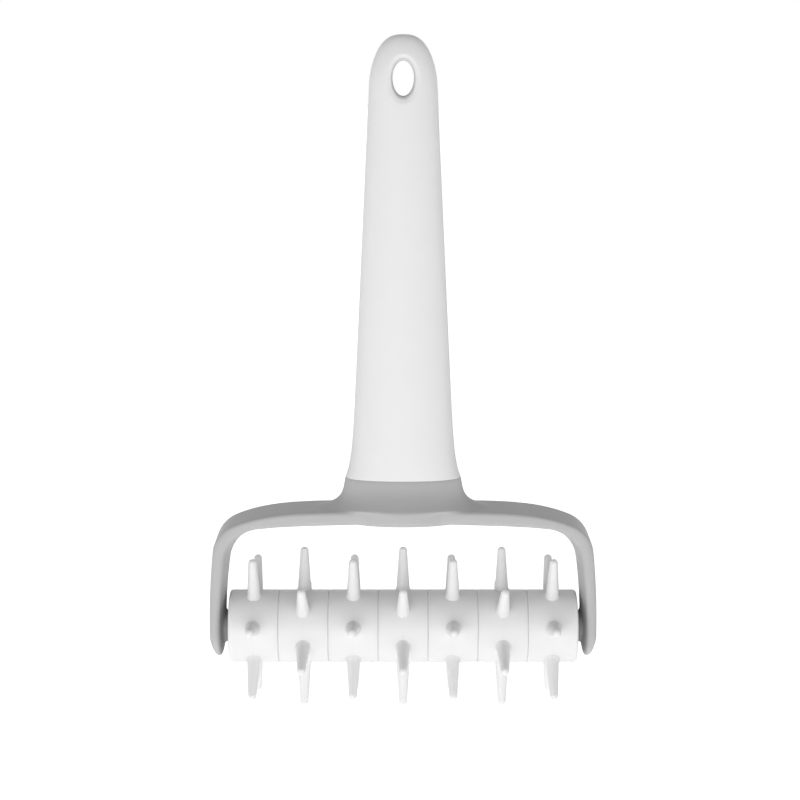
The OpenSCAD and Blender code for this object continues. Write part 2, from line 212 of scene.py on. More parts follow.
# Studio
FLOOR_HALF = 8.0
FLOOR_GAP = 150 * MM
FLOOR_ALBEDO = 0.9
FLOOR_GLOW = 0.46
FLOOR_WHITE = 0.9
HORIZON_LEVEL = 0.85
HORIZON_TO_BACK = 0.15
HORIZON_TO_LEFT = 0.12
HORIZON_TOP = 14 * DEG
WALL_FOOT = 26 * DEG
WALL_LEVEL = 0.18
WALL_TOP = 42 * DEG
CEILING_FOOT = 58 * DEG
CEILING_LEVEL = 0.42
LAMP_AZIMUTH = -6 * DEG
LAMP_ELEVATION = -8 * DEG
LAMP_DISTANCE = 0.6
LAMP_SIZE = 0.36
LAMP_WATTS = 1.36


def linear(level):
    """A screen grey from 0 to 255 as a linear value."""
    v = level / 255
    return v / 12.92 if v <= 0.04045 else ((v + 0.055) / 1.055) ** 2.4


class Flow:
    """A number that flows through a node tree, with the usual arithmetic."""

    def __init__(self, tree, socket):
        self.tree = tree
        self.socket = socket

    def do(self, operation, *others):
        node = self.tree.nodes.new("ShaderNodeMath")
        node.operation = operation
        for slot, value in zip(node.inputs, (self, *others)):
            feed(self.tree, slot, value)
        return Flow(self.tree, node.outputs[0])

    def __add__(self, other):
        return self.do("ADD", other)

    __radd__ = __add__

    def __sub__(self, other):
        return self.do("SUBTRACT", other)

    def __rsub__(self, other):
        return self * -1 + other

    def __mul__(self, other):
        return self.do("MULTIPLY", other)

    __rmul__ = __mul__

    def __truediv__(self, other):
        return self.do("DIVIDE", other)

    def __pow__(self, other):
        return self.do("POWER", other)

    def sin(self):
        return self.do("SINE")

    def cos(self):
        return self.do("COSINE")

    def root(self):
        return self.at_least(0.0).do("SQRT")

    def size(self):
        return self.do("ABSOLUTE")

    def at_least(self, low):
        return self.do("MAXIMUM", low)

    def at_most(self, high):
        return self.do("MINIMUM", high)

    def share(self, start=0.0, end=1.0):
        """How far the number has come from start to end, from 0 to 1."""
        return ((self - start) / (end - start)).at_least(0.0).at_most(1.0)


def feed(tree, socket, value):
    """Links a flow or a socket to an input, or sets a plain value on it."""
    if isinstance(value, Flow):
        tree.links.new(value.socket, socket)
    elif isinstance(value, bpy.types.NodeSocket):
        tree.links.new(value, socket)
    else:
        socket.default_value = value


def add(tree, kind, settings=None, **inputs):
    """A new node with its settings and its inputs by name, where _ stands for a space."""
    node = tree.nodes.new(kind)
    for key, value in (settings or {}).items():
        setattr(node, key, value)
    for key, value in inputs.items():
        feed(tree, node.inputs[key.replace("_", " ")], value)
    return node


def split(tree, vector):
    """The X, Y and Z of a vector socket as flows."""
    parts = add(tree, "ShaderNodeSeparateXYZ", Vector=vector)
    return [Flow(tree, socket) for socket in parts.outputs]


def new_group(kind, name, inputs, outputs):
    """A node group with named sockets. Returns the tree, its entry, its end and the input identifiers."""
    tree = bpy.data.node_groups.new(name, kind)
    for label, socket_type in outputs.items():
        tree.interface.new_socket(label, in_out="OUTPUT", socket_type=socket_type)
    ids = {}
    for label, socket_type in inputs.items():
        ids[label] = tree.interface.new_socket(label, in_out="INPUT", socket_type=socket_type).identifier
    return tree, tree.nodes.new("NodeGroupInput"), tree.nodes.new("NodeGroupOutput"), ids


def smooth(mesh):
    """Shades every face smooth."""
    mesh.polygons.foreach_set("use_smooth", np.ones(len(mesh.polygons), bool))
    mesh.update()


def tidy(mesh):
    """Merges doubles, turns the faces outwards and shades the mesh smooth."""
    work = bmesh.new()
    work.from_mesh(mesh)
    bmesh.ops.remove_doubles(work, verts=work.verts, dist=SAME_POINT)
    bmesh.ops.recalc_face_normals(work, faces=work.faces)
    work.to_mesh(mesh)
    work.free()
    smooth(mesh)
    return mesh


def place(name, mesh):
    """An object at the origin with that mesh."""
    piece = bpy.data.objects.new(name, mesh)
    bpy.context.scene.collection.objects.link(piece)
    return piece


def mesh_of(name, points, faces):
    """A closed mesh from points and faces."""
    mesh = bpy.data.meshes.new(name)
    mesh.from_pydata([tuple(p) for p in points], [], faces)
    return tidy(mesh)


def loft(rings, closed_ends=True):
    """Points and faces of a tube through rings of equally many points."""
    sides = len(rings[0])
    points = [p for ring in rings for p in ring]
    faces = []
    for k in range(len(rings) - 1):
        for i in range(sides):
            a = k * sides + i
            b = k * sides + (i + 1) % sides
            faces.append((a, b, b + sides, a + sides))
    if closed_ends:
        faces.append(tuple(reversed(range(sides))))
        faces.append(tuple((len(rings) - 1) * sides + i for i in range(sides)))
    return points, faces


def evaluated(piece):
    """Puts the shape that the piece's modifiers give into its mesh and removes them."""
    graph = bpy.context.evaluated_depsgraph_get()
    mesh = bpy.data.meshes.new_from_object(piece.evaluated_get(graph))
    piece.modifiers.clear()
    piece.data = mesh
    smooth(mesh)
    return piece


def grow(name, mesh, tree, ids, values):
    """Runs a geometry tree on a mesh and returns an object with the plain result."""
    piece = place(name, mesh)
    modifier = piece.modifiers.new("shape", "NODES")
    modifier.node_group = tree
    for label, value in values.items():
        modifier[ids[label]] = value
    return evaluated(piece)


def drop(*pieces):
    """Removes helper objects."""
    for piece in pieces:
        bpy.data.objects.remove(piece)


def quarter(steps):
    """Angles from 0 to a quarter turn."""
    return [90 * DEG * k / steps for k in range(steps + 1)]


def sine(angle):
    """Sine of a number or a flow."""
    return angle.sin() if isinstance(angle, Flow) else math.sin(angle)


def cosine(angle):
    """Cosine of a number or a flow."""
    return angle.cos() if isinstance(angle, Flow) else math.cos(angle)


def signed_power(value, power):
    """The power of a value's size, with the value's sign."""
    return math.copysign(abs(value) ** power, value)


def oval(half_w, half_d, z, power, sides):
    """One ring of points with the squareness given by power."""
    ring = []
    for i in range(sides):
        a = 2 * math.pi * i / sides
        x = half_w * signed_power(math.cos(a), 2 / power)
        y = half_d * signed_power(math.sin(a), 2 / power)
        ring.append(Vector((x, y, z)))
    return ring


# Grip
def crown(h, power):
    """Share of the full section at a height: 1 below the crown and 0 at its top."""
    u = max(0.0, (h - GRIP_LEN + CROWN_LEN) / CROWN_LEN)
    return max(0.0, 1 - u * u) ** (1 / power)


def grip_half(h, mouth, at_mouth, at_eye, power):
    """Half width or half depth of the grip at a height above its mouth."""
    eye_height = -GRIP_LOW.z
    taper = at_mouth + (at_eye - at_mouth) * h / eye_height
    flare = (mouth - at_mouth) * math.exp(-h / FLARE_LEN)
    return (taper + flare) / 2 * crown(h, power)


def grip_half_w(h):
    return grip_half(h, MOUTH_W, TAPER_W, EYE_END_W, CROWN_POWER_W)


def grip_half_d(h):
    return grip_half(h, MOUTH_D, TAPER_D, EYE_END_D, CROWN_POWER_D)


def grip_face(x, z):
    """Depth of the grip's front face at a place in front view, without the dish."""
    h = z - GRIP_LOW.z
    w = grip_half_w(h)
    if w <= 1e-9:
        return 0.0
    inside = max(0.0, 1 - min(1.0, abs(x) / w) ** GRIP_POWER)
    return grip_half_d(h) * inside ** (1 / GRIP_POWER)


def eye_loop(angles, out):
    """Points on the eye's oval, moved outwards."""
    return [((EYE_W / 2 + out) * math.cos(a), (EYE_H / 2 + out) * math.sin(a)) for a in angles]


def grip_outline():
    """Front view loop round the eye: up one side, over the crown, down the other and back below."""
    flank_steps = 14
    arc_steps = 30
    crown_foot = GRIP_LOW.z + GRIP_LEN - CROWN_LEN
    flank = [PANEL_FOOT + (crown_foot - PANEL_FOOT) * i / flank_steps for i in range(flank_steps)]
    arc = [crown_foot + CROWN_LEN * math.sin(a) for a in quarter(arc_steps)]
    right = [(grip_half_w(z - GRIP_LOW.z), z) for z in flank + arc]
    left = [(-x, z) for x, z in reversed(right[:-1])]
    section = oval(grip_half_w(PANEL_FOOT - GRIP_LOW.z), 1, PANEL_FOOT, GRIP_POWER, GRIP_SIDES)
    below = [(p.x, PANEL_FOOT) for p in reversed(section[1:GRIP_SIDES // 2])]
    return right + left + below


def eye_panel(side):
    """Front or back face of the grip's upper end, from the middle of the eye's wall to the outline."""
    wall_steps = 4
    rim_steps = 8
    face_steps = 44
    outline = grip_outline()
    angles = [math.atan2(z / EYE_H, x / EYE_W) for x, z in outline]
    rim = eye_loop(angles, EYE_RIM)
    rim_y = [grip_face(x, z) - DISH_DEPTH for x, z in rim]
    rings = []
    for k in range(wall_steps + 1):
        wall = zip(eye_loop(angles, 0), rim_y)
        rings.append([(x, (y - EYE_RIM) * k / wall_steps, z) for (x, z), y in wall])
    for a in quarter(rim_steps)[1:-1]:
        arc = zip(eye_loop(angles, EYE_RIM * (1 - math.cos(a))), rim_y)
        rings.append([(x, y - EYE_RIM * (1 - math.sin(a)), z) for (x, z), y in arc])
    for a in quarter(face_steps):
        ring = []
        for (x0, z0), (x1, z1) in zip(rim, outline):
            x = x0 + (x1 - x0) * math.sin(a)
            z = z0 + (z1 - z0) * math.sin(a)
            away = min(1.0, math.hypot(x - x0, z - z0) / DISH_W)
            dip = DISH_DEPTH * (1 + math.cos(math.pi * away)) / 2
            ring.append((x, max(0.0, grip_face(x, z) - dip), z))
        rings.append(ring)
    rings[-1] = [(x, grip_face(x, z), z) for x, z in outline]
    return loft([[Vector((x, side * y, z)) for x, y, z in ring] for ring in rings], False)


def grip_mesh():
    """Grip as one closed skin: eye panels, tapered body, rounded mouth and the socket for the tang."""
    body_steps = 60
    lip_steps = 4
    points, faces = [], []
    body_len = PANEL_FOOT - GRIP_LOW.z
    heights = [body_len * (1 - i / body_steps) ** BODY_CROWDING for i in range(body_steps)]
    rings = [oval(grip_half_w(h), grip_half_d(h), GRIP_LOW.z + h, GRIP_POWER, GRIP_SIDES) for h in heights]
    for a in quarter(lip_steps)[1:]:
        inset = MOUTH_LIP * (1 - math.cos(a))
        z = GRIP_LOW.z + MOUTH_LIP * (1 - math.sin(a))
        rings.append(oval(grip_half_w(0) - inset, grip_half_d(0) - inset, z, GRIP_POWER, GRIP_SIDES))
    for z in (GRIP_LOW.z, GRIP_LOW.z + SOCKET_LEN):
        rings.append(oval(SOCKET_W / 2, SOCKET_D / 2, z, SOCKET_POWER, GRIP_SIDES))
    body_points, body_faces = loft(rings)
    del body_faces[-2]
    for p, f in (eye_panel(-1), eye_panel(1), (body_points, body_faces)):
        faces += [tuple(i + len(points) for i in face) for face in f]
        points += p
    return mesh_of("grip_skin", points, faces)


# Yoke
def side_line_frame(reach, rise, radius, lean, slope):
    """How strongly the arm and the bar of a side line bow, and where its bar meets its corner."""
    arm_bow = sine(lean) / cosine(lean) / ARM_POWER
    bar_bow = sine(slope) / cosine(slope) / BAR_POWER
    arc_w = radius * (cosine(lean) - sine(slope))
    arc_h = radius * (sine(lean) - cosine(slope))
    end_x = (reach - arc_w - (rise + arc_h) * arm_bow) / (1 - arm_bow * bar_bow)
    end_z = rise + arc_h - end_x * bar_bow
    return arm_bow, bar_bow, end_x, end_z


def side_line(size, side, arm, corner, bar):
    """X and Z of a place on one side line of the arch, by how far it has come along each stretch.

    The arm bows from upright to its lean, the corner is an arc, and the bar bows from its slope to level.
    """
    reach, rise, radius, lean, slope = (size[f"{side} {part}"] for part in OUTSIDE)
    arm_bow, bar_bow, end_x, end_z = side_line_frame(reach, rise, radius, lean, slope)
    arm_z = end_z * arm - size["End Drop"] * (1 - arm)
    arm_x = reach - end_z * arm_bow * (arm_z.at_least(0.0) / end_z) ** ARM_POWER
    upright = math.pi / 2 - lean
    bend = upright + (slope - upright) * corner
    x = arm_x + radius * (bend.sin() - upright.sin()) - end_x * bar
    bar_lift = end_x * bar_bow * (1 - (1 - bar) ** BAR_POWER)
    return x, arm_z + radius * (bend.cos() - upright.cos()) + bar_lift


def arch_tree():
    """Strap of the yoke: a rounded outline on a straight rail, bent between the arch's two side lines.

    A point of the straight bar holds its share of the rail in X and its place in the outline in Y and Z.
    The outline is a square of half width 2 whose corners are rounded by 1, which gives every point a
    place between the corner centres and an offset on the corner arc.
    """
    labels = [f"{side} {part}" for side in ("Outside", "Inside") for part in OUTSIDE]
    labels += ["Depth", "Edge Radius", "Belly", "End Taper", "End Drop", "Tip Toe", "Axle Height"]
    inputs = {"Geometry": "NodeSocketGeometry"} | {label: "NodeSocketFloat" for label in labels}
    inputs["Material"] = "NodeSocketMaterial"
    tree, entry, end, ids = new_group("GeometryNodeTree", "swept_arch", inputs,
                                      {"Geometry": "NodeSocketGeometry"})
    size = {label: Flow(tree, entry.outputs[label]) for label in labels}
    rail_points = 361
    outline_points = 80
    corner_points = 24
    bullnose = 0.96
    end_turn = 88 * DEG
    tip_share, arm_share, corner_share = 0.14, 0.3, 0.62

    line = add(tree, "GeometryNodeCurvePrimitiveLine", Start=(0.0, 0.0, 0.0), End=(1.0, 0.0, 0.0))
    rail = add(tree, "GeometryNodeResampleCurve", Curve=line.outputs["Curve"], Count=rail_points)
    square = add(tree, "GeometryNodeCurvePrimitiveQuadrilateral", Width=4.0, Height=4.0)
    rounded = add(tree, "GeometryNodeFilletCurve", {"mode": "POLY"}, Curve=square.outputs["Curve"],
                  Radius=1.0, Count=corner_points)
    outline = add(tree, "GeometryNodeResampleCurve", Curve=rounded.outputs["Curve"], Count=outline_points)
    bar = add(tree, "GeometryNodeCurveToMesh", Curve=rail.outputs["Curve"],
              Profile_Curve=outline.outputs["Curve"], Fill_Caps=True)

    along, deep, thick = split(tree, add(tree, "GeometryNodeInputPosition").outputs[0])
    inward = 1 - (along * 2 - 1).size()
    tip = inward.share(0.0, tip_share)
    arm = inward.share(tip_share, arm_share)
    corner = inward.share(arm_share, corner_share)
    crest = inward.share(corner_share, 1.0)
    out_x, out_z = side_line(size, "Outside", arm, corner, crest)
    in_x, in_z = side_line(size, "Inside", arm, corner, crest)

    end_angle = (1 - tip) * end_turn
    half_d = size["Depth"] * 0.5 * end_angle.cos()
    below = size["Depth"] * 0.5 * end_angle.sin()
    keep = ((size["Depth"] * 0.5 - below) / size["End Taper"]).at_most(1.0).root()
    half_x = (out_x - in_x) * 0.5 * keep
    half_z = (out_z - in_z) * 0.5 * keep
    half_t = (half_x * half_x + half_z * half_z).root()
    belly = size["Belly"].at_most(half_t / 2)
    edge = size["Edge Radius"].at_most((half_t - belly / 2) * bullnose).at_most(half_d * bullnose)

    deep_core = deep.at_least(-1.0).at_most(1.0)
    thick_core = thick.at_least(-1.0).at_most(1.0)
    y = deep_core * (half_d - edge) + (deep - deep_core) * edge
    depth_share = (y.size() / (half_d - edge)).at_most(1.0)
    outer_t = half_t - edge
    inner_t = outer_t - belly * depth_share * depth_share
    core_t = (outer_t - inner_t + thick_core * (outer_t + inner_t)) / 2
    t = (core_t + (thick - thick_core) * edge) / half_t
    side = (1 - along * 2).do("SIGN")
    middle = (out_x + in_x) * 0.5 - size["Tip Toe"] * (1 - keep)
    spot = add(tree, "ShaderNodeCombineXYZ", X=(middle + half_x * t) * side, Y=y,
               Z=(out_z + in_z) * 0.5 + half_z * t - below + size["Axle Height"])
    bent = add(tree, "GeometryNodeSetPosition", Geometry=bar.outputs["Mesh"], Position=spot.outputs[0])
    real = add(tree, "GeometryNodeRealizeInstances", Geometry=bent.outputs["Geometry"])
    done = add(tree, "GeometryNodeSetMaterial", Geometry=real.outputs["Geometry"],
               Material=entry.outputs["Material"])
    tree.links.new(done.outputs["Geometry"], end.inputs["Geometry"])
    return tree, ids


def crest_height(x):
    """Height of the strap's top above the axle at a distance from the middle."""
    _, bar_bow, end_x, _ = side_line_frame(*OUTSIDE.values())
    return OUTSIDE["Rise"] - end_x * bar_bow * (x / end_x) ** BAR_POWER


def neck_mesh():
    """Neck under the grip, which steps in behind the mouth, has a waist and spreads into the strap."""
    steps = 28
    edge_steps = 6
    last = 0.98
    top_w = MOUTH_W / 2 + NECK_LAP
    top_d = MOUTH_D / 2 - NECK_STEP
    top_z = GRIP_LOW.z
    flare_z = AXLE.z + crest_height(NECK_SPREAD)
    waist = NECK_WAIST_D / 2
    rows = []
    for k in range(steps + 1):
        u = last * k / steps
        w = top_w + NECK_SWELL * u + (NECK_SPREAD - top_w - NECK_SWELL) * u ** FLARE_POWER
        d = waist + (top_d - waist) * (1 - u) ** 2 + (NECK_FOOT_D / 2 - waist) * u ** FOOT_POWER
        rows.append((w, d, top_z + (flare_z - top_z) * u))
    rows.append((NECK_FOOT_W / 2, NECK_FOOT_D / 2, flare_z - FOOT_SINK))
    under = AXLE.z + INSIDE["Rise"] + BELLY + FOOT_LIFT
    for a in quarter(edge_steps):
        inset = FOOT_EDGE * (1 - math.cos(a))
        rows.append((NECK_FOOT_W / 2 - inset, NECK_FOOT_D / 2 - inset,
                     under + FOOT_EDGE * (1 - math.sin(a))))
    rings = [oval(w, d, z, NECK_POWER, GRIP_SIDES) for w, d, z in reversed(rows)]
    return mesh_of("neck", *loft(rings))


def round_bar(name, x0, x1, radius):
    """Mesh of a round bar along X on the axle."""
    sides = 64
    rings = []
    for x in (x0, x1):
        turns = [2 * math.pi * i / sides for i in range(sides)]
        rings.append([Vector((x, radius * math.cos(a), AXLE.z + radius * math.sin(a))) for a in turns])
    return mesh_of(name, *loft(rings))


def tang_mesh():
    """The construction's tang, from just above the mouth, with its foot drawn down into the neck."""
    cut = GRIP_LOW.z + TANG_CUT
    work = bmesh.new()
    work.from_mesh(frame["nodes"]["yoke"].data)
    bmesh.ops.remove_doubles(work, verts=work.verts, dist=SAME_POINT)
    parts = work.verts[:] + work.edges[:] + work.faces[:]
    bmesh.ops.bisect_plane(work, geom=parts, plane_co=(0, 0, cut), plane_no=(0, 0, 1), clear_inner=True)
    bmesh.ops.holes_fill(work, edges=[e for e in work.edges if e.is_boundary])
    for vert in work.verts:
        if vert.co.z < cut + UM:
            vert.co.z -= TANG_SINK
    mesh = bpy.data.meshes.new("tang")
    work.to_mesh(mesh)
    work.free()
    return mesh


def join(piece, helper, operation="UNION"):
    """Adds a boolean step with a helper to a piece."""
    step = piece.modifiers.new("join", "BOOLEAN")
    step.operation = operation
    step.solver = SOLVER
    step.object = helper
    helper.hide_render = True


def build_yoke(material):
    """Strap, neck and bosses blended into one moulding, then the tang and the rod's sockets."""
    tree, ids = arch_tree()
    values = {"Depth": STRAP_D, "Edge Radius": EDGE_R, "Belly": BELLY, "End Taper": ARM_TAPER,
              "End Drop": ARM_DROP, "Tip Toe": TIP_TOE, "Axle Height": AXLE.z, "Material": material}
    for side, line in (("Outside", OUTSIDE), ("Inside", INSIDE)):
        values |= {f"{side} {part}": value for part, value in line.items()}
    yoke = grow("yoke_moulding", bpy.data.meshes.new("strap"), tree, ids, values)
    tidy(yoke.data)
    arm_middle = YOKE_HIGH.x - ARM_T / 2
    boss_face = ROLLER_HALF + END_PLAY
    helpers = [place("neck", neck_mesh())]
    for side in (-1, 1):
        boss = round_bar("boss", side * boss_face, side * arm_middle, BOSS_D / 2)
        helpers.append(place("boss", boss))
    for helper in helpers:
        join(yoke, helper)
    blend = yoke.modifiers.new("blend", "REMESH")
    blend.mode = "VOXEL"
    blend.voxel_size = VOXEL
    soften = yoke.modifiers.new("soften", "SMOOTH")
    soften.factor = BLEND_STRENGTH
    soften.iterations = BLEND_ROUNDS
    tang = place("tang", tang_mesh())
    rod = place("rod_hole", round_bar("rod_hole", ROD_LOW.x - SEAT_FIT, ROD_HIGH.x + SEAT_FIT,
                                      ROD_HIGH.y + SEAT_FIT))
    join(yoke, tang)
    join(yoke, rod, "DIFFERENCE")
    evaluated(yoke)
    drop(*helpers, tang, rod)
    yoke.data.materials.clear()
    yoke.data.materials.append(material)
    return yoke


# Rings
def blank_ring(low_edge, high_edge):
    """Ring without spikes along Z, as a revolved profile: shell with rounded edges, web and hub."""
    edge_steps = 6
    face_steps = 15
    sides = 144
    h = RING_W / 2
    hub_h = h - CAP_T
    shell_in = RING_R - RING_WALL
    low = [(RING_R - low_edge * (1 - math.sin(a)), -h + low_edge * (1 - math.cos(a)))
           for a in quarter(edge_steps)]
    high = [(RING_R - high_edge * (1 - math.sin(a)), h - high_edge * (1 - math.cos(a)))
            for a in quarter(edge_steps)]
    half = [(PROFILE_CORE_R, -hub_h), (HUB_R, -hub_h), (HUB_R, -WEB_T / 2), (shell_in, -WEB_T / 2),
            (shell_in, -h)]
    face_low, face_high = low[-1][1], high[-1][1]
    face = [(RING_R, face_low + (face_high - face_low) * k / face_steps) for k in range(1, face_steps)]
    profile = half + low + face + high[::-1] + [(r, -z) for r, z in reversed(half)]
    rings = []
    for i in range(sides):
        a = 2 * math.pi * (i + 0.5) / sides
        rings.append([Vector((r * math.cos(a), r * math.sin(a), z)) for r, z in profile])
    rings.append(rings[0])
    return mesh_of("blank", *loft(rings, False))


def ring_tree():
    """Puts tapered, domed spikes round a blank ring and cuts its square bore."""
    labels = ["Root Radius", "Tip Radius", "Reach", "Start", "Dome", "Shell Radius", "Root Fillet", "Bore",
              "Width"]
    inputs = {"Geometry": "NodeSocketGeometry"} | {label: "NodeSocketFloat" for label in labels}
    inputs |= {"Spikes": "NodeSocketInt", "Material": "NodeSocketMaterial"}
    tree, entry, end, ids = new_group("GeometryNodeTree", "spiked_ring", inputs,
                                      {"Geometry": "NodeSocketGeometry"})
    size = {label: Flow(tree, entry.outputs[label]) for label in labels}
    spike_points = 41
    spike_sides = 32
    fillet_reach = 2

    line = add(tree, "GeometryNodeCurvePrimitiveLine", Start=(0.0, 0.0, 0.0), End=(1.0, 0.0, 0.0))
    path = add(tree, "GeometryNodeResampleCurve", Curve=line.outputs["Curve"], Count=spike_points)
    index = Flow(tree, add(tree, "GeometryNodeInputIndex").outputs[0])
    crowded = (index / (spike_points - 1) * (math.pi / 2)).sin()
    out = size["Start"] + (size["Reach"] - size["Start"]) * crowded
    taper_share = out.share(size["Shell Radius"], size["Reach"] - size["Dome"])
    dome_share = out.share(size["Reach"] - size["Dome"], size["Reach"])
    taper = size["Root Radius"] + (size["Tip Radius"] - size["Root Radius"]) * taper_share
    near = 1 - out.share(size["Shell Radius"], size["Shell Radius"] + size["Root Fillet"] * fillet_reach)
    girth = taper * (1 - dome_share * dome_share).root() + near * near * size["Root Fillet"]
    spot = add(tree, "ShaderNodeCombineXYZ", X=out)
    spread = add(tree, "GeometryNodeSetPosition", Geometry=path.outputs["Curve"], Position=spot.outputs[0])
    circle = add(tree, "GeometryNodeCurvePrimitiveCircle", Resolution=spike_sides, Radius=1.0)
    spike = add(tree, "GeometryNodeCurveToMesh", Curve=spread.outputs["Geometry"],
                Profile_Curve=circle.outputs["Curve"], Fill_Caps=True, Scale=girth)

    hub = add(tree, "GeometryNodePoints", Count=entry.outputs["Spikes"])
    turn = add(tree, "ShaderNodeCombineXYZ", Z=index / Flow(tree, entry.outputs["Spikes"]) * (2 * math.pi))
    copies = add(tree, "GeometryNodeInstanceOnPoints", Points=hub.outputs[0],
                 Instance=spike.outputs["Mesh"], Rotation=turn.outputs[0])
    real = add(tree, "GeometryNodeRealizeInstances", Geometry=copies.outputs["Instances"])
    whole = add(tree, "GeometryNodeMeshBoolean", {"operation": "UNION", "solver": SOLVER})
    tree.links.new(entry.outputs["Geometry"], whole.inputs["Mesh 2"])
    tree.links.new(real.outputs["Geometry"], whole.inputs["Mesh 2"])
    bore_size = add(tree, "ShaderNodeCombineXYZ", X=size["Bore"], Y=size["Bore"], Z=size["Width"] * 2)
    block = add(tree, "GeometryNodeMeshCube", Size=bore_size.outputs[0])
    bored = add(tree, "GeometryNodeMeshBoolean", {"operation": "DIFFERENCE", "solver": SOLVER})
    tree.links.new(whole.outputs["Mesh"], bored.inputs["Mesh 1"])
    tree.links.new(block.outputs["Mesh"], bored.inputs["Mesh 2"])
    done = add(tree, "GeometryNodeSetMaterial", Geometry=bored.outputs["Mesh"],
               Material=entry.outputs["Material"])
    tree.links.new(done.outputs["Geometry"], end.inputs["Geometry"])
    return tree, ids


def lay_on_axle(mesh, middle_x, turn):
    """Turns a mesh that was made along Z about its axis and lays it on the axle."""
    points = np.empty(len(mesh.vertices) * 3)
    mesh.vertices.foreach_get("co", points)
    x, y, z = points.reshape(-1, 3).T
    across = y * math.cos(turn) + x * math.sin(turn)
    up = y * math.sin(turn) - x * math.cos(turn)
    laid = np.stack([z + middle_x, across, up + AXLE.z], 1)
    mesh.vertices.foreach_set("co", laid.ravel())
    mesh.update()


def build_rings(material):
    """The seven rings, each a quarter turn from the one before, with rounder edges at both ends."""
    tree, ids = ring_tree()
    values = {
        "Root Radius": SPIKE_ROOT_R,
        "Tip Radius": SPIKE_TIP_R,
        "Reach": SPIKE_REACH,
        "Start": RING_R - RING_WALL / 2,
        "Dome": SPIKE_DOME,
        "Shell Radius": RING_R,
        "Root Fillet": ROOT_FILLET,
        "Bore": BORE_W,
        "Width": RING_W,
        "Spikes": SPIKES,
        "Material": material,
    }
    edges = {RINGS[0]: (END_EDGE, RING_EDGE), RINGS[-1]: (RING_EDGE, END_EDGE)}
    masters = {}
    for pair in [*edges.values(), (RING_EDGE, RING_EDGE)]:
        masters[pair] = grow("ring_master", blank_ring(*pair), tree, ids, values)
    for index, node in enumerate(RINGS):
        low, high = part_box(node)
        mesh = masters[edges.get(node, (RING_EDGE, RING_EDGE))].data.copy()
        mesh.set_sharp_from_angle(angle=CREASE_ANGLE)
        lay_on_axle(mesh, (low.x + high.x) / 2, REST_TURN + RING_TURN * index)
        piece = place(node.replace("spike", "spiked"), mesh)
        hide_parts(node)
        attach(piece, "roller")
    drop(*masters.values())


# Effects that several materials use
def shader_group(name, inputs, outputs):
    """A shader group with float inputs, apart from a Vector, and float outputs."""
    sockets = {label: "NodeSocketVector" if label == "Vector" else "NodeSocketFloat" for label in inputs}
    tree, entry, end, _ = new_group("ShaderNodeTree", name, sockets,
                                    {label: "NodeSocketFloat" for label in outputs})
    return tree, entry, end


def noise(tree, vector, size_m, detail=2.0):
    """Even noise round zero, from about -0.5 to 0.5, with lumps of that size."""
    scale = Flow(tree, size_m) if isinstance(size_m, bpy.types.NodeSocket) else size_m
    rate = scale.do("POWER", -1.0) if isinstance(scale, Flow) else 1 / scale
    node = add(tree, "ShaderNodeTexNoise", Vector=vector, Scale=rate, Detail=detail)
    return Flow(tree, node.outputs[0]) - 0.5


def moulded_skin_group():
    """Eroded mould texture with soft shrink ripples: a tone near 1, a roughness and a height in metres."""
    inputs = ["Vector", "Grain Size", "Grain Depth", "Ripple Size", "Ripple Depth", "Mottle", "Roughness",
              "Roughness Spread"]
    tree, entry, end = shader_group("moulded_skin", inputs, ["Tone", "Roughness", "Height"])
    vector = entry.outputs["Vector"]
    value = {label: Flow(tree, entry.outputs[label]) for label in inputs[1:]}
    grain = noise(tree, vector, entry.outputs["Grain Size"], detail=3.0)
    ripple = noise(tree, vector, entry.outputs["Ripple Size"], detail=1.0)
    cloud = noise(tree, vector, CLOUD_SIZE)
    feed(tree, end.inputs["Tone"], 1 + cloud * value["Mottle"] + grain * value["Mottle"] * GRAIN_SHARE)
    feed(tree, end.inputs["Roughness"], value["Roughness"] + (cloud + grain) * value["Roughness Spread"])
    feed(tree, end.inputs["Height"], grain * value["Grain Depth"] + ripple * value["Ripple Depth"])
    return tree


def parting_line_group():
    """Faint raised line where the mould halves met: a mask that is 1 on the line."""
    tree, entry, end = shader_group("parting_line", ["Across", "Half Width"], ["Mask"])
    across = Flow(tree, entry.outputs["Across"]).size()
    width = Flow(tree, entry.outputs["Half Width"])
    feed(tree, end.inputs["Mask"], 1 - across.share(width * LINE_CORE, width))
    return tree


def edge_wear_group():
    """Edges rubbed smoother by handling and washing, as a mask that noise breaks up."""
    inputs = ["Vector", "Patch Size"]
    tree, entry, end = shader_group("edge_wear", inputs, ["Mask"])
    sharp = Flow(tree, add(tree, "ShaderNodeNewGeometry").outputs["Pointiness"])
    patch = noise(tree, entry.outputs["Vector"], entry.outputs["Patch Size"], detail=3.0)
    feed(tree, end.inputs["Mask"], (sharp.share(WEAR_FROM, WEAR_FULL) * (1 + patch)).at_most(1.0))
    return tree


def use_group(tree, group, **inputs):
    """Places a shader group in a material with its own values. Returns its outputs by name."""
    node = add(tree, "ShaderNodeGroup", {"node_tree": group}, **inputs)
    return {socket.name: Flow(tree, socket) for socket in node.outputs}


def new_material(name):
    """An empty node material with its Principled shader and the Object coordinates."""
    material = bpy.data.materials.new(name)
    material.use_nodes = True
    tree = material.node_tree
    shader = tree.nodes["Principled BSDF"]
    spot = add(tree, "ShaderNodeTexCoord").outputs["Object"]
    return material, tree, shader, spot


def grey(tree, value):
    """A grey colour from a flow."""
    return add(tree, "ShaderNodeCombineColor", Red=value, Green=value, Blue=value).outputs[0]


def raise_surface(tree, shader, height):
    """Bump from a height in metres."""
    bump = add(tree, "ShaderNodeBump", Height=height, Distance=1.0, Strength=1.0)
    tree.links.new(bump.outputs["Normal"], shader.inputs["Normal"])


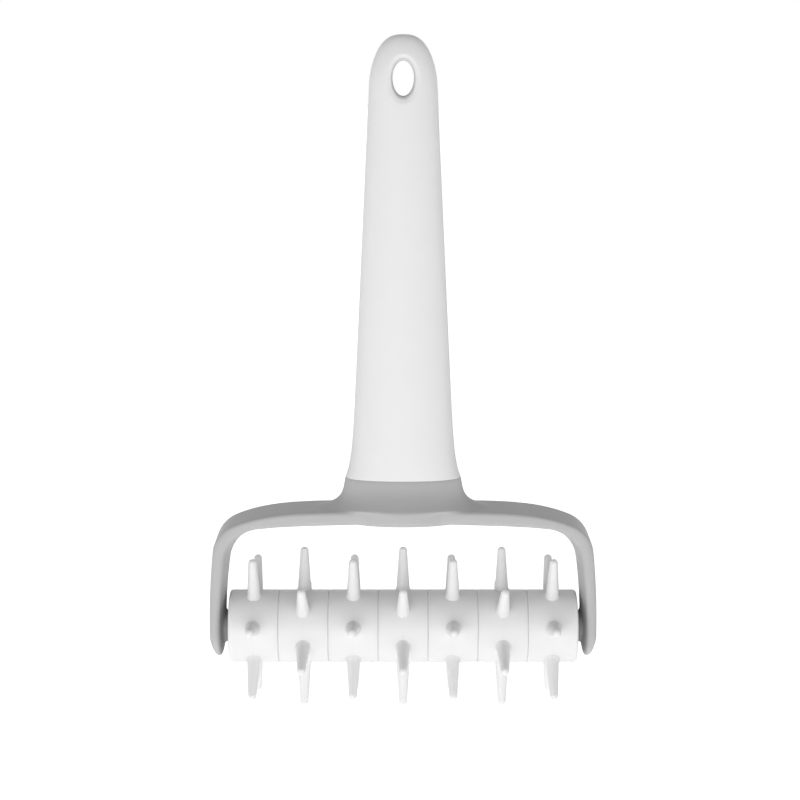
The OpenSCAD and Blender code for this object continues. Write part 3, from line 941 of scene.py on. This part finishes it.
def eye_painted_shade(tree, spot):
    """Painted shade on the wall and rim of the hanging eye, as a share from 0 to 1."""
    x, _, z = split(tree, spot)
    half_w, half_h = EYE_W / 2, EYE_H / 2
    out = ((x / half_w) * (x / half_w) + (z / half_h) * (z / half_h)).root()
    return 1 - out.share(1 + EYE_RIM / half_h, 1 + EYE_RIM * EYE_PAINTED_SHADE_FADE / half_h)


def plastic(name, level, finish, painted_shade, across, painted_eye_shade=None):
    """Satin moulded plastic that glows a little from within, with painted shade darkening its colour in
    hollows and near other parts.

    The level is its screen grey, and across gives the coordinate that is 0 on its parting line.
    """
    material, tree, shader, spot = new_material(name)
    skin = use_group(tree, SKIN, Vector=spot, **finish)
    wear = use_group(tree, WEAR, Vector=spot, Patch_Size=WEAR_PATCH)
    line = use_group(tree, PARTING, Across=across(split(tree, spot)), Half_Width=LINE_HALF_W)
    tone = skin["Tone"] + wear["Mask"] * WEAR_TONE - line["Mask"] * LINE_TONE
    if painted_eye_shade is not None:
        # Painted shade: the eye's wall and rim are darkened in the colour
        tone = tone - painted_eye_shade(tree, spot) * EYE_PAINTED_SHADE
    # Painted shade: ambient occlusion darkens the base colour in hollows, between parts and where the
    # roller nears the yoke
    shade_occlusion = add(tree, "ShaderNodeAmbientOcclusion", {"samples": PAINTED_SHADE_SAMPLES}, Distance=PAINTED_SHADE_REACH)
    tone = tone * (1 - (1 - Flow(tree, shade_occlusion.outputs["AO"])) * painted_shade)
    feed(tree, shader.inputs["Base Color"], grey(tree, tone * linear(level)))
    feed(tree, shader.inputs["Roughness"], skin["Roughness"] - wear["Mask"] * WEAR_GLOSS)
    shader.inputs["Specular IOR Level"].default_value = SPECULAR
    shader.inputs["Subsurface Weight"].default_value = GLOW_SHARE
    shader.inputs["Subsurface Radius"].default_value = (1, 1, 1)
    shader.inputs["Subsurface Scale"].default_value = GLOW_DEPTH
    raise_surface(tree, shader, skin["Height"] + line["Mask"] * LINE_HEIGHT)
    return material


def drawn_steel(name):
    """Bright drawn rod, with fine lines along its length."""
    material, tree, shader, spot = new_material(name)
    x, y, z = split(tree, spot)
    stretched = add(tree, "ShaderNodeCombineXYZ", X=x * DRAW_STRETCH, Y=y, Z=z).outputs[0]
    lines = noise(tree, stretched, DRAW_LINE_W, detail=3.0)
    skin = use_group(tree, SKIN, Vector=spot, **STEEL_FINISH)
    tone = skin["Tone"] * linear(STEEL_LEVEL) + lines * DRAW_TONE
    feed(tree, shader.inputs["Base Color"], grey(tree, tone))
    feed(tree, shader.inputs["Roughness"], skin["Roughness"] + lines * DRAW_ROUGHNESS)
    shader.inputs["Metallic"].default_value = 1.0
    raise_surface(tree, shader, skin["Height"] + lines * DRAW_DEPTH)
    return material


# Studio
def build_camera():
    scene = bpy.context.scene
    lens = bpy.data.cameras.new("camera")
    lens.sensor_width = SENSOR_WIDTH
    lens.lens = SENSOR_WIDTH * FOCAL_PIXELS / FRAME_PIXELS
    lens.clip_start = NEAR_CLIP
    lens.clip_end = FAR_CLIP
    camera = bpy.data.objects.new("camera", lens)
    scene.collection.objects.link(camera)
    back = Vector((0, -math.cos(VIEW_ELEVATION), math.sin(VIEW_ELEVATION)))
    camera.location = VIEW_TARGET + VIEW_DISTANCE * back
    camera.rotation_euler = (math.pi / 2 - VIEW_ELEVATION, 0, 0)
    scene.camera = camera
    scene.view_settings.view_transform = "Standard"


def seen_directly(tree):
    """1 for what the camera sees, also in gloss and through clear pieces, and 0 for light on the tool."""
    path = add(tree, "ShaderNodeLightPath").outputs
    seen = Flow(tree, path["Is Camera Ray"]).at_least(path["Is Glossy Ray"])
    return seen.at_least(path["Is Transmission Ray"])


def build_floor():
    """Pale floor far below the tool. It glows evenly on the tool and is seen as plain white."""
    h = FLOOR_HALF
    z = AXLE.z - SPIKE_REACH - FLOOR_GAP
    mesh = bpy.data.meshes.new("floor")
    mesh.from_pydata([(-h, -h, z), (h, -h, z), (h, h, z), (-h, h, z)], [], [(0, 1, 2, 3)])
    floor = place("floor", mesh)
    material = bpy.data.materials.new("studio_floor")
    material.use_nodes = True
    tree = material.node_tree
    shader = tree.nodes["Principled BSDF"]
    shader.inputs["Base Color"].default_value = (FLOOR_ALBEDO, FLOOR_ALBEDO, FLOOR_ALBEDO, 1)
    shader.inputs["Roughness"].default_value = 1.0
    shader.inputs["Specular IOR Level"].default_value = 0.0
    shader.inputs["Emission Color"].default_value = (1, 1, 1, 1)
    seen = seen_directly(tree)
    feed(tree, shader.inputs["Emission Strength"], seen * FLOOR_WHITE + (1 - seen) * FLOOR_GLOW)
    mesh.materials.append(material)


def build_world():
    """Room with a pale horizon, strongest behind and to the left, dim walls and a grey ceiling.

    The camera sees it as plain white.
    """
    world = bpy.data.worlds.new("studio")
    bpy.context.scene.world = world
    world.use_nodes = True
    tree = world.node_tree
    right, back, up = split(tree, add(tree, "ShaderNodeTexCoord").outputs["Generated"])
    horizon = (HORIZON_LEVEL + back * HORIZON_TO_BACK - right * HORIZON_TO_LEFT).at_least(0.0)
    to_wall = up.share(math.sin(HORIZON_TOP), math.sin(WALL_FOOT))
    to_ceiling = up.share(math.sin(WALL_TOP), math.sin(CEILING_FOOT))
    level = horizon + (WALL_LEVEL - horizon) * to_wall + to_ceiling * (CEILING_LEVEL - WALL_LEVEL)
    seen = seen_directly(tree)
    feed(tree, tree.nodes["Background"].inputs["Color"], grey(tree, seen + (1 - seen) * level))
    tree.nodes["Background"].inputs["Strength"].default_value = 1.0


def build_lamp():
    """Soft square lamp in front of the tool and a little below its middle."""
    lamp = bpy.data.lights.new("front_lamp", "AREA")
    lamp.size = LAMP_SIZE
    lamp.energy = LAMP_WATTS
    light = bpy.data.objects.new("front_lamp", lamp)
    bpy.context.scene.collection.objects.link(light)
    flat = math.cos(LAMP_ELEVATION)
    away = Vector((math.sin(LAMP_AZIMUTH) * flat, -math.cos(LAMP_AZIMUTH) * flat, math.sin(LAMP_ELEVATION)))
    light.location = VIEW_TARGET + LAMP_DISTANCE * away
    light.rotation_euler = away.to_track_quat("Z", "Y").to_euler()


build_camera()
build_floor()
build_world()
build_lamp()

SKIN = moulded_skin_group()
PARTING = parting_line_group()
WEAR = edge_wear_group()

# Each plastic gets painted shade in its hollows, and the grip also gets painted shade on its eye's wall
grip_white = plastic("grip_white", GRIP_LEVEL, GRIP_FINISH, GRIP_PAINTED_SHADE, lambda xyz: xyz[1], eye_painted_shade)
yoke_grey = plastic("yoke_grey", YOKE_LEVEL, YOKE_FINISH, YOKE_PAINTED_SHADE, lambda xyz: xyz[1])
roller_white = plastic("roller_white", ROLLER_LEVEL, ROLLER_FINISH, ROLLER_PAINTED_SHADE,
                       lambda xyz: xyz[0].do("WRAP", RING_W / 2, -RING_W / 2))
rod_steel = drawn_steel("rod_steel")

grip = place("grip_skin", grip_mesh())
grip.data.materials.append(grip_white)
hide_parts("grip")
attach(grip, "frame")

yoke = build_yoke(yoke_grey)
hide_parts("yoke")
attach(yoke, "frame")

build_rings(roller_white)

for node in ("axle_rod", "hub_core", "end_cap_left", "end_cap_right"):
    mesh = frame["nodes"][node].data
    mesh.materials.clear()
    mesh.materials.append(rod_steel if node == "axle_rod" else roller_white)
